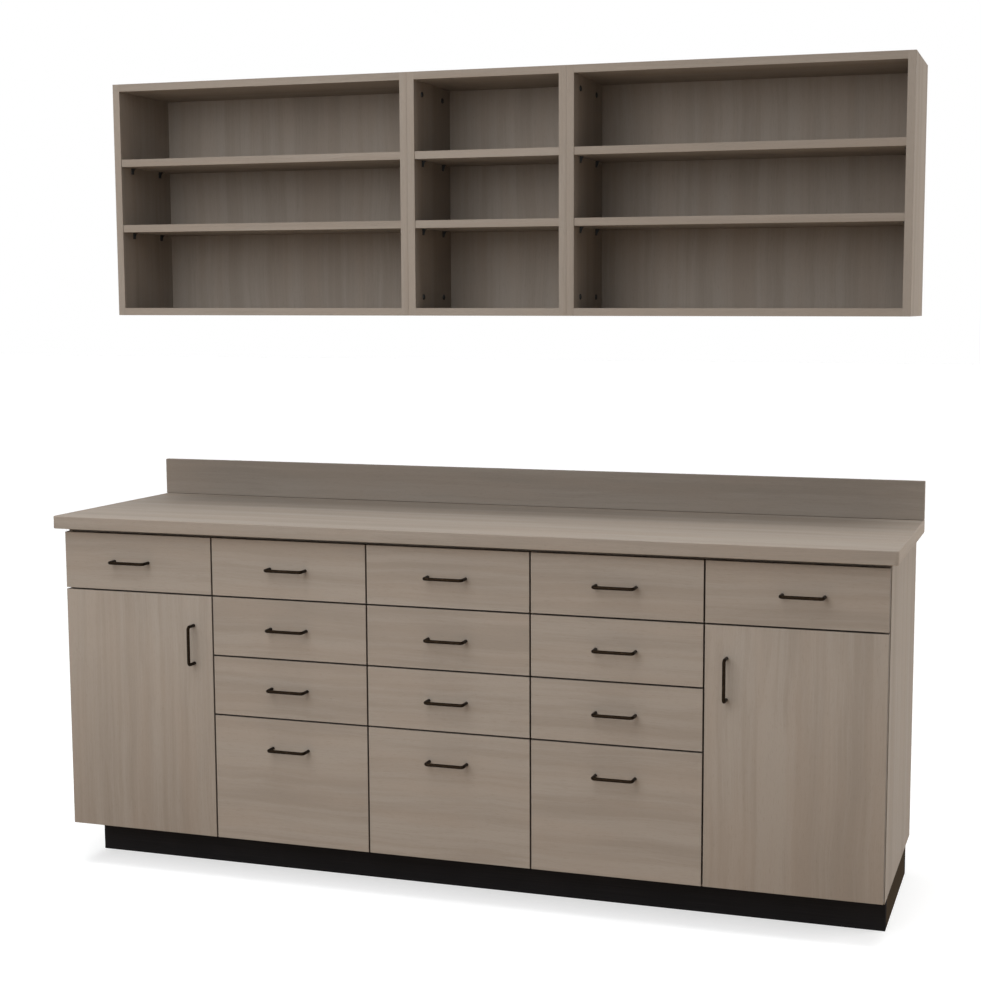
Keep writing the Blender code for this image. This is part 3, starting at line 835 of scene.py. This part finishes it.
def slide_places(drawer, context):
    """A drawer's slides: the face each is screwed to and its way inwards, their lower edge and front."""
    boards, sizes = context.scene.cabinet_boards, context.scene.cabinet_drawers
    left, right = opening(column_of(drawer), boards.panel)
    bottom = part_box(drawer)[0].z + sizes.lift + sizes.slide_lift
    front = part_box("base_bottom")[0].y + sizes.slide_setback
    return ((left, 1), (right, -1)), bottom, front


def hinges_of(door):
    """The nodes of a door's two hinges."""
    return [f"hinge_{door.split('_')[1]}_{row}" for row in ROWS]


def add_banded_board(piece, low, high, along, context):
    """Adds a laminated board with a band on its front edge."""
    boards, colours = context.scene.cabinet_boards, context.scene.cabinet_colours
    low, high = Vector(low), Vector(high)
    joint = low.y + boards.band
    core = block((low.x, joint, low.z), high, boards.arris / 2)
    band = block(low, (high.x, joint, high.z), boards.arris)
    piece.add_laminate(core, along)
    # Painted light: the front band's colour is scaled paler
    piece.add_laminate(band, along, colours.band_painted_light)


# Operators


class CABINET_OT_make_plinth(Operator):
    """Makes the four dark boards that the base stands on"""

    bl_idname = "cabinet.make_plinth"
    bl_label = "Make the plinth"

    def execute(self, context):
        boards = context.scene.cabinet_boards
        for node in ("plinth_front", "plinth_rear", "plinth_left_end", "plinth_right_end"):
            piece = Piece(f"{node}_board")
            board = "brown_board" if node.endswith("_end") else "black_board"
            piece.add(block(*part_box(node), boards.plinth_round), finish(board))
            piece.place(ROOT, "plinth_black", [node])
        return {"FINISHED"}


class CABINET_OT_make_carcass(Operator):
    """Makes the base's end panels, partitions, bottom, back and front rail"""

    bl_idname = "cabinet.make_carcass"
    bl_label = "Make the base boards"

    def execute(self, context):
        boards = context.scene.cabinet_boards
        places = {node: (*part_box(node), X) for node in ("base_bottom", "base_front_rail")}
        low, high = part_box("base_left_end")
        places["base_left_end"] = (low, (low.x + boards.panel, high.y, high.z), Z)
        low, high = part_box("base_right_end")
        places["base_right_end"] = ((high.x - boards.panel, low.y, low.z), high, Z)
        for node in PARTITIONS:
            low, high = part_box(node)
            left = (low.x + high.x - boards.panel) / 2
            right = left + boards.panel
            places[node] = ((left, low.y, low.z), (right, high.y, high.z), Z)
        for node, (low, high, along) in places.items():
            piece = Piece(f"{node}_board")
            add_banded_board(piece, low, high, along, context)
            piece.place(ROOT, "carcass_laminate", [node])
        back = Piece("base_back_board")
        back.add_laminate(block(*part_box("base_back"), boards.arris), Z)
        back.place(ROOT, "carcass_laminate", ["base_back"])
        return {"FINISHED"}


class CABINET_OT_make_slides(Operator):
    """Makes the fixed slide channels and the bars that run in them"""

    bl_idname = "cabinet.make_slides"
    bl_label = "Make the drawer slides"

    def execute(self, context):
        sizes, hardware = context.scene.cabinet_drawers, context.scene.cabinet_hardware
        zinc = finish("slide_zinc")
        for drawer in DRAWERS:
            sides, low, front = slide_places(drawer, context)
            high, rear = low + sizes.slide_height, front + sizes.slide_length
            channels = Piece(f"{drawer}_channels")
            bars = Piece(f"{drawer}_slide_bars")
            for face, inward in sides:
                # The sign of the sheet's thickness puts the metal outside the fold
                sheet = inward * sizes.sheet
                tip = face + inward * sizes.channel_reach
                web = face + sheet
                lower, upper = low + sizes.sheet, high - sizes.sheet
                line = [(tip, lower), (web, lower), (web, upper), (tip, upper)]
                channels.add(folded_strip(line, front, rear, sheet, sizes.fold), zinc)
                for share in CHANNEL_SCREWS:
                    seat = (web, front + share * sizes.slide_length, (low + high) / 2)
                    head = screw(seat, (inward, 0, 0), hardware.screw_head, hardware.screw_height)
                    channels.add(head, zinc)
                tip = face + inward * sizes.bar_play
                web = face + inward * (sizes.slide_space - sizes.sheet)
                lower, upper = lower + sizes.bar_play, upper - sizes.bar_play
                line = [(tip, lower), (web, lower), (web, upper), (tip, upper)]
                bars.add(folded_strip(line, front, rear, -sheet, sizes.fold), zinc)
            channels.place(ROOT, "hinge_nickel")
            bars.place(drawer, "hinge_nickel")
        return {"FINISHED"}


class CABINET_OT_make_countertop(Operator):
    """Makes the countertop and its backsplash"""

    bl_idname = "cabinet.make_countertop"
    bl_label = "Make the countertop"

    def execute(self, context):
        boards, colours = context.scene.cabinet_boards, context.scene.cabinet_colours
        top = Piece("countertop_slab")
        slab = top_slab(*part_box("countertop"), boards.counter_corner, boards.counter_arris)
        # Painted light: the countertop's colour is scaled paler
        top.add_laminate(slab, X, colours.counter_painted_light)
        top.place(ROOT, "counter_laminate", ["countertop"])
        splash = Piece("backsplash_board")
        board = block(*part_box("backsplash"), boards.splash_round)
        # Painted shade: the backsplash's colour is scaled darker
        splash.add_laminate(board, X, colours.splash_painted_shade)
        splash.place(ROOT, "counter_laminate", ["backsplash"])
        return {"FINISHED"}


class CABINET_OT_make_drawers(Operator):
    """Makes the drawer fronts, the drawer boxes and the screws that join them"""

    bl_idname = "cabinet.make_drawers"
    bl_label = "Make the drawers"

    def execute(self, context):
        boards, sizes = context.scene.cabinet_boards, context.scene.cabinet_drawers
        hardware, colours = context.scene.cabinet_hardware, context.scene.cabinet_colours
        melamine, zinc = finish("box_melamine"), finish("slide_zinc")
        for drawer in DRAWERS:
            low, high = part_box(drawer)
            rear = low.y + boards.front
            front = Piece(f"{drawer}_front")
            slab = block(low, (high.x, rear, high.z), boards.front_arris)
            # Painted light on the front's face and painted shade on its narrow edges
            front.add_laminate(slab, X, colours.front_tone, colours.rim_painted_shading)
            front.place(drawer, "front_laminate", [drawer])

            left, right = opening(column_of(drawer), boards.panel)
            left, right = left + sizes.slide_space, right - sizes.slide_space
            bottom, top = low.z + sizes.lift, high.z - sizes.drop
            inner_left, inner_right = left + sizes.side, right - sizes.side
            inner_front, inner_rear = rear + sizes.side, high.y - sizes.side
            walls = (
                ((left, rear, bottom), (inner_left, high.y, top)),
                ((inner_right, rear, bottom), (right, high.y, top)),
                ((inner_left, rear, bottom), (inner_right, inner_front, top)),
                ((inner_left, inner_rear, bottom), (inner_right, high.y, top)),
                ((inner_left, inner_front, bottom), (inner_right, inner_rear, bottom + sizes.floor)),
            )
            case = Piece(f"{drawer}_box")
            for wall_low, wall_high in walls:
                case.add(block(wall_low, wall_high, sizes.rim, segments=2), melamine)
            case.place(drawer)

            screws = Piece(f"{drawer}_screws")
            for share in BOX_SCREWS:
                for height in (bottom + sizes.floor + sizes.screw_row, top - sizes.screw_row):
                    seat = (inner_left + share * (inner_right - inner_left), inner_front, height)
                    screws.add(screw(seat, REARWARD, hardware.screw_head, hardware.screw_height), zinc)
            screws.place(drawer, "hinge_nickel")
        return {"FINISHED"}


class CABINET_OT_make_doors(Operator):
    """Makes the two cupboard doors with their hinge cups and bumpers"""

    bl_idname = "cabinet.make_doors"
    bl_label = "Make the doors"

    def execute(self, context):
        boards, hardware = context.scene.cabinet_boards, context.scene.cabinet_hardware
        colours = context.scene.cabinet_colours
        for door, side in DOORS.items():
            low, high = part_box(door)
            front = Piece(f"{door}_slab")
            slab = self.slab_of(door, boards.front_arris)
            # Painted light on the door's face and painted shade on its narrow edges
            front.add_laminate(slab, Z, colours.front_tone, colours.rim_painted_shading)
            front.place(door, "front_laminate", [door])

            cups = Piece(f"{door}_hinge_cups")
            outer = low.x if side < 0 else high.x
            centre = outer - side * (hardware.cup_edge + hardware.cup / 2)
            for hinge in hinges_of(door):
                hinge_low, hinge_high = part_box(hinge)
                rim = (centre, high.y, (hinge_low.z + hinge_high.z) / 2)
                self.add_cup(cups, side, rim, boards, hardware)
            cups.place(door, "hinge_nickel")

            bumpers = Piece(f"{door}_bumpers")
            free = high.x if side < 0 else low.x
            for height in (low.z + hardware.bumper_inset, high.z - hardware.bumper_inset):
                seat = (free + side * hardware.bumper_edge, high.y, height)
                bumper = rod(seat, REARWARD, hardware.bumper, hardware.bumper_height, hardware.bumper_round)
                bumpers.add(bumper, finish("bumper_rubber"))
            bumpers.place(door)
        return {"FINISHED"}

    @staticmethod
    def slab_of(door, arris):
        """The door's own solid, hinge cups and all, with its outer edges rounded."""
        low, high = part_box(door)
        shape = bmesh.new()
        shape.from_mesh(frame["nodes"][door].data)
        bmesh.ops.remove_doubles(shape, verts=shape.verts[:], dist=WELD)
        bmesh.ops.dissolve_limit(
            shape,
            angle_limit=radians(1),
            verts=shape.verts[:],
            edges=shape.edges[:],
            use_dissolve_boundaries=False,
        )

        def sides_of(vert):
            """The sides of the door's box that a point lies on."""
            near = (abs(vert.co[axis] - limit[axis]) < FLAT for axis in (X, Y, Z) for limit in (low, high))
            return {index for index, is_near in enumerate(near) if is_near}

        rims = [edge for edge in shape.edges if len(set.intersection(*map(sides_of, edge.verts))) > 1]
        round_edges(shape, rims, arris, segments=3)
        mark_creases(shape, radians(25))
        return shape

    @staticmethod
    def add_cup(cups, side, rim, boards, hardware):
        """One hinge cup in the rear of a door, with its two screwed ears."""
        nickel, zinc = finish("bright_nickel"), finish("slide_zinc")
        centre, rear, middle = rim
        inner = hardware.cup - 2 * hardware.cup_wall
        depth = boards.front - hardware.cup_floor - 2 * hardware.cup_wall
        cups.add(dish(rim, REARWARD, inner, depth, hardware.cup_wall), nickel)
        spot = centre - side * hardware.ear_shift
        for way in (-1, 1):
            height = middle + way * (hardware.cup / 2 + hardware.ear_gap)
            foot = (spot, rear, height)
            ear = rod(foot, REARWARD, hardware.ear, hardware.ear_height, hardware.small_arris)
            cups.add(ear, nickel)
            seat = (spot, rear + hardware.ear_screw_seat, height)
            cups.add(screw(seat, REARWARD, hardware.ear_screw, hardware.ear_screw_height), zinc)


class CABINET_OT_make_pulls(Operator):
    """Makes the bent wire pulls of the drawers and doors"""

    bl_idname = "cabinet.make_pulls"
    bl_label = "Make the pulls"

    def execute(self, context):
        hardware = context.scene.cabinet_hardware
        fronts = {drawer.replace("drawer_", "drawer_pull_"): drawer for drawer in DRAWERS}
        fronts.update({door.replace("door_", "door_pull_"): door for door in DOORS})
        for node, body in fronts.items():
            low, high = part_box(node)
            upright = body in DOORS
            reach = (high.z - low.z) if upright else (high.x - low.x)
            projection = high.y - low.y - hardware.pull_diameter / 2
            span = reach - hardware.pull_diameter
            pull = Piece(f"{node}_wire")
            wire = bent_wire(span, projection, hardware.pull_bend, hardware.pull_diameter)
            pull.add(wire, finish("dark_bronze"))
            if upright:
                pull.turn(Matrix.Rotation(pi / 2, 3, "Y"))
            pull.shift(((low.x + high.x) / 2, high.y, (low.z + high.z) / 2))
            pull.place(body, "pull_bronze", [node])
        return {"FINISHED"}


class CABINET_OT_make_hinges(Operator):
    """Makes the mounting plates, arms and pins of the concealed hinges"""

    bl_idname = "cabinet.make_hinges"
    bl_label = "Make the hinges"

    def execute(self, context):
        boards, hardware = context.scene.cabinet_boards, context.scene.cabinet_hardware
        for door, side in DOORS.items():
            door_low, door_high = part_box(door)
            pin_x = (door_low.x if side < 0 else door_high.x) - side * hardware.pin_inset
            pin_y = door_low.y + hardware.pin_depth
            for node in hinges_of(door):
                low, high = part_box(node)
                if side < 0:
                    wall = max(low.x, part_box("base_left_end")[0].x + boards.panel)
                else:
                    wall = min(high.x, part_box("base_right_end")[1].x - boards.panel)
                self.make_hinge(node, side, wall, (pin_x, pin_y, (low.z + high.z) / 2), hardware)
        return {"FINISHED"}

    @staticmethod
    def make_hinge(node, side, wall, pin, hardware):
        """One hinge: its plate on the end panel, its arm and finger, and the pin in the door's cup."""
        nickel, zinc = finish("bright_nickel"), finish("slide_zinc")
        low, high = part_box(node)
        pin_x, pin_y, middle = pin
        bottom, top = middle - hardware.hinge_arm_width / 2, middle + hardware.hinge_arm_width / 2
        lap = hardware.hinge_lap
        inner = wall - side * hardware.hinge_plate
        arm_face = inner - side * (hardware.hinge_arm - lap)
        arm_front = pin_y - hardware.hinge_arm / 2
        plate_front = high.y - hardware.hinge_plate_length
        hinge = Piece(f"{node}_metal")
        plate_low, plate_high = (wall, plate_front, low.z), (inner, high.y, high.z)
        hinge.add(block(plate_low, plate_high, hardware.hinge_plate_round), nickel)
        arm_low, arm_high = (inner, arm_front, bottom), (arm_face, high.y - lap, top)
        hinge.add(block(arm_low, arm_high, hardware.hinge_arm_round), nickel)
        finger_low = (pin_x + side * hardware.finger_end, arm_front, bottom)
        finger_high = (arm_face + side * lap, arm_front + hardware.hinge_arm, top)
        hinge.add(block(finger_low, finger_high, hardware.finger_round), nickel)
        foot = (pin_x, pin_y, middle - hardware.hinge_pin_length / 2)
        stub = rod(foot, (0, 0, 1), hardware.hinge_pin, hardware.hinge_pin_length, hardware.small_arris)
        hinge.add(stub, zinc)
        for share in HINGE_ARM_SCREWS:
            seat = (arm_face, plate_front + share * hardware.hinge_plate_length, middle)
            hinge.add(screw(seat, (-side, 0, 0), hardware.arm_screw, hardware.arm_screw_height), zinc)
        for share in HINGE_PLATE_SCREWS:
            height = middle + share * (high.z - low.z)
            seat = (inner, plate_front + hardware.hinge_plate_length / 2, height)
            hinge.add(screw(seat, (-side, 0, 0), hardware.screw_head, hardware.screw_height), zinc)
        hinge.place(ROOT, "hinge_nickel", [node])


class CABINET_OT_make_wall_units(Operator):
    """Makes the boards of the three wall units and their six shelves"""

    bl_idname = "cabinet.make_wall_units"
    bl_label = "Make the wall units"

    def execute(self, context):
        boards = context.scene.cabinet_boards
        panel = boards.panel
        for node in WALL_UNITS:
            low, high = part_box(node)
            left, right = low.x + panel, high.x - panel
            floor, ceiling = low.z + panel, high.z - panel
            places = {
                "left_side": (low, (left, high.y, high.z), Z),
                "right_side": ((right, low.y, low.z), high, Z),
                "top": ((left, low.y, ceiling), (right, high.y, high.z), X),
                "bottom": ((left, low.y, low.z), (right, high.y, floor), X),
            }
            for name, (board_low, board_high, along) in places.items():
                piece = Piece(f"{node}_{name}")
                add_banded_board(piece, board_low, board_high, along, context)
                piece.place(ROOT, "wall_unit_laminate", [node])
            back = Piece(f"{node}_back")
            back_low = (left, high.y - boards.wall_back, floor)
            back.add_laminate(block(back_low, (right, high.y, ceiling), boards.arris), Z)
            back.place(ROOT, "wall_unit_laminate", [node])
            for row in ROWS:
                shelf_node = f"{node.replace('unit', 'shelf')}_{row}"
                shelf = Piece(f"{shelf_node}_board")
                add_banded_board(shelf, *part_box(shelf_node), X, context)
                shelf.place(ROOT, "wall_unit_laminate", [shelf_node])
        return {"FINISHED"}


class CABINET_OT_make_wall_hardware(Operator):
    """Makes the shelf supports and the bolts that join the wall units"""

    bl_idname = "cabinet.make_wall_hardware"
    bl_label = "Make the wall units' hardware"

    def execute(self, context):
        boards, hardware = context.scene.cabinet_boards, context.scene.cabinet_hardware
        plastic = finish("black_plastic")
        for node in WALL_UNITS:
            low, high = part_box(node)
            faces = ((low.x + boards.panel, 1), (high.x - boards.panel, -1))
            supports = Piece(f"{node}_shelf_supports")
            for row in ROWS:
                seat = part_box(f"{node.replace('unit', 'shelf')}_{row}")[0].z
                for depth in self.depths(low, high, boards, hardware):
                    for face, inward in faces:
                        self.add_support(supports, face, inward, depth, seat, hardware, plastic)
            supports.place(ROOT)
        for left, right in zip(WALL_UNITS, WALL_UNITS[1:]):
            low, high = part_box(left)
            bolts = Piece(f"{left}_joining_bolts")
            heights = (
                high.z - boards.panel - hardware.bolt_from_top,
                low.z + boards.panel + hardware.bolt_from_bottom,
            )
            faces = ((high.x - boards.panel, -1), (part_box(right)[0].x + boards.panel, 1))
            for height in heights:
                for depth in self.depths(low, high, boards, hardware):
                    for face, out in faces:
                        seat = (face, depth, height)
                        head = cap_bolt(seat, (out, 0, 0), hardware.bolt_head, hardware.bolt_height)
                        bolts.add(head, plastic)
            bolts.place(ROOT)
        return {"FINISHED"}

    @staticmethod
    def depths(low, high, boards, hardware):
        """How deep in a wall unit its supports and bolts sit, front and rear."""
        return low.y + hardware.support_setback, high.y - boards.wall_back - hardware.support_setback

    @staticmethod
    def add_support(piece, face, inward, depth, seat, hardware, plastic):
        """One shelf support: a plate on the side board, a seat under the shelf and a web between them."""
        near, far = depth - hardware.support_width / 2, depth + hardware.support_width / 2
        wall, rounding = hardware.support_wall, hardware.support_round
        foot = seat - hardware.support_height
        tip = face + inward * hardware.support_reach
        plate = block((face, near, foot), (face + inward * wall, far, seat), rounding)
        rest = block((face, near, seat - wall), (tip, far, seat), rounding)
        web_low, web_high = (face, depth - wall / 2, foot + wall), (tip, depth + wall / 2, seat - wall / 2)
        web = block(web_low, web_high, hardware.small_arris)
        for vert in web.verts:
            drop = (seat - vert.co.z) / hardware.support_height
            vert.co.x = face + (vert.co.x - face) * (1 - hardware.support_taper * drop)
        for solid in (plate, rest, web):
            piece.add(solid, plastic)


class CABINET_OT_make_studio(Operator):
    """Makes the floor, the light and the camera"""

    bl_idname = "cabinet.make_studio"
    bl_label = "Make the studio"

    def execute(self, context):
        studio, colours = context.scene.cabinet_studio, context.scene.cabinet_colours
        self.make_floor(studio, colours)
        self.make_sky(context, studio)
        for lamp in ("front_lamp", "fill_lamp", "right_lamp"):
            self.make_lamp(lamp, studio)
        self.make_camera(context, studio)
        context.scene.view_settings.view_transform = "Standard"
        return {"FINISHED"}

    @staticmethod
    def seen(paint):
        """1 where a ray comes straight from the camera, or by way of metal or glass."""
        camera = paint.node("ShaderNodeLightPath", {}, {}, "Is Camera Ray")
        glossy, passed = camera.beside("Is Glossy Ray"), camera.beside("Is Transmission Ray")
        settings = {"operation": "ADD", "use_clamp": True}
        return paint.node("ShaderNodeMath", settings, {0: camera + glossy, 1: passed})

    def make_floor(self, studio, colours):
        """A wide pale floor that shows white and keeps the object's shadow."""
        shape = bmesh.new()
        bmesh.ops.create_grid(shape, x_segments=1, y_segments=1, size=studio.floor_size)
        mesh = bpy.data.meshes.new("floor")
        shape.to_mesh(mesh)
        shape.free()
        material = bpy.data.materials.new("studio_floor")
        paint = Paint(material)
        seen = self.seen(paint)
        pale = paint.mix(seen, colours.floor_bounce, colours.floor)
        matt = paint.node("ShaderNodeBsdfDiffuse", {}, {"Color": pale})
        glow = paint.node("ShaderNodeEmission", {}, {"Strength": seen * studio.floor_glow})
        both = paint.node("ShaderNodeAddShader", {}, {0: matt, 1: glow})
        paint.node("ShaderNodeOutputMaterial", {}, {"Surface": both})
        mesh.materials.append(material)
        floor = bpy.data.objects.new("floor", mesh)
        bpy.context.scene.collection.objects.link(floor)

    def make_sky(self, context, studio):
        """Light from the front and from overhead, in a sky that looks white itself."""
        world = bpy.data.worlds.new("studio")
        context.scene.world = world
        paint = Paint(world)
        way = paint.node("ShaderNodeTexCoord", {}, {}, "Generated")
        right = paint.node("ShaderNodeSeparateXYZ", {}, {0: way}, "X")
        rear, up = right.beside("Y"), right.beside("Z")
        behind = paint.larger(rear, 0.0)
        facing = paint.larger(1 - behind * studio.sky_fall, 0.0)
        leftward, rightward = (1 - right) * 0.5, (1 + right) * 0.5
        low = (1 - up) * (1 - up) * leftward * studio.sky_left
        mid = up * (1 - up) * 4.0 * rightward * studio.sky_right
        patch = paint.node("ShaderNodeMath", {"operation": "POWER"}, {0: up, 1: studio.sky_focus})
        glow = facing * (low + mid + patch * studio.sky_top)
        seen = self.seen(paint)
        strength = seen + (1 - seen) * glow
        white = (1.0, 1.0, 1.0, 1.0)
        light = paint.node("ShaderNodeBackground", {}, {"Color": white, "Strength": strength})
        paint.node("ShaderNodeOutputWorld", {}, {"Surface": light})

    @staticmethod
    def make_lamp(name, studio):
        """A square soft lamp by its name in the studio's settings."""
        data = bpy.data.lights.new(name, "AREA")
        data.size = studio.lamp_size
        data.energy = getattr(studio, name)
        data.color = getattr(studio, f"{name}_colour")
        lamp = bpy.data.objects.new(name, data)
        bpy.context.scene.collection.objects.link(lamp)
        spot, aim = (Vector(getattr(studio, f"{name}_{end}")) for end in ("place", "aim"))
        lamp.location = spot
        lamp.rotation_euler = (aim - spot).to_track_quat("-Z", "Y").to_euler()

    @staticmethod
    def make_camera(context, studio):
        """The camera at the photograph's place and angle."""
        data = bpy.data.cameras.new("camera")
        data.sensor_fit = "HORIZONTAL"
        data.sensor_width = studio.sensor
        data.lens = PHOTO_FOCAL * studio.sensor / PHOTO_SIDE
        data.shift_x = (PHOTO_SIDE / 2 - PHOTO_CENTRE[0]) / PHOTO_SIDE
        data.shift_y = (PHOTO_CENTRE[1] - PHOTO_SIDE / 2) / PHOTO_SIDE
        camera = bpy.data.objects.new("camera", data)
        context.scene.collection.objects.link(camera)
        camera.location = studio.camera_place
        turn, dip = studio.camera_turn, studio.camera_dip
        ahead = Vector((-sin(turn) * cos(dip), cos(turn) * cos(dip), -sin(dip)))
        camera.rotation_euler = ahead.to_track_quat("-Z", "Y").to_euler()
        context.scene.camera = camera


STEPS = (
    CABINET_OT_make_plinth,
    CABINET_OT_make_carcass,
    CABINET_OT_make_slides,
    CABINET_OT_make_countertop,
    CABINET_OT_make_drawers,
    CABINET_OT_make_doors,
    CABINET_OT_make_pulls,
    CABINET_OT_make_hinges,
    CABINET_OT_make_wall_units,
    CABINET_OT_make_wall_hardware,
    CABINET_OT_make_studio,
)
SETTINGS = {
    "cabinet_boards": BoardSizes,
    "cabinet_drawers": DrawerSizes,
    "cabinet_hardware": HardwareSizes,
    "cabinet_colours": FinishColours,
    "cabinet_studio": StudioSettings,
}


class CABINET_PT_sidebar(Panel):
    """Lists the steps and the settings of the cabinet"""

    bl_idname = "CABINET_PT_sidebar"
    bl_label = "Pharmacy cabinet"
    bl_space_type = "VIEW_3D"
    bl_region_type = "UI"
    bl_category = "Cabinet"

    def draw(self, context):
        for step in STEPS:
            self.layout.operator(step.bl_idname)
        for name, group in SETTINGS.items():
            settings = self.layout.box()
            for key in group.__annotations__:
                settings.prop(getattr(context.scene, name), key)


def register():
    """Adds the settings, steps and panel to Blender."""
    for kind in (*SETTINGS.values(), *STEPS, CABINET_PT_sidebar):
        bpy.utils.register_class(kind)
    for name, group in SETTINGS.items():
        setattr(bpy.types.Scene, name, PointerProperty(type=group))


def unregister():
    """Takes the settings, steps and panel out of Blender."""
    for name in SETTINGS:
        delattr(bpy.types.Scene, name)
    for kind in (CABINET_PT_sidebar, *reversed(STEPS), *SETTINGS.values()):
        bpy.utils.unregister_class(kind)


def main():
    """Makes the whole cabinet."""
    register()
    for step in STEPS:
        group, name = step.bl_idname.split(".")
        getattr(getattr(bpy.ops, group), name)()
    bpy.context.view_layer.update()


if __name__ == "__main__":
    main()
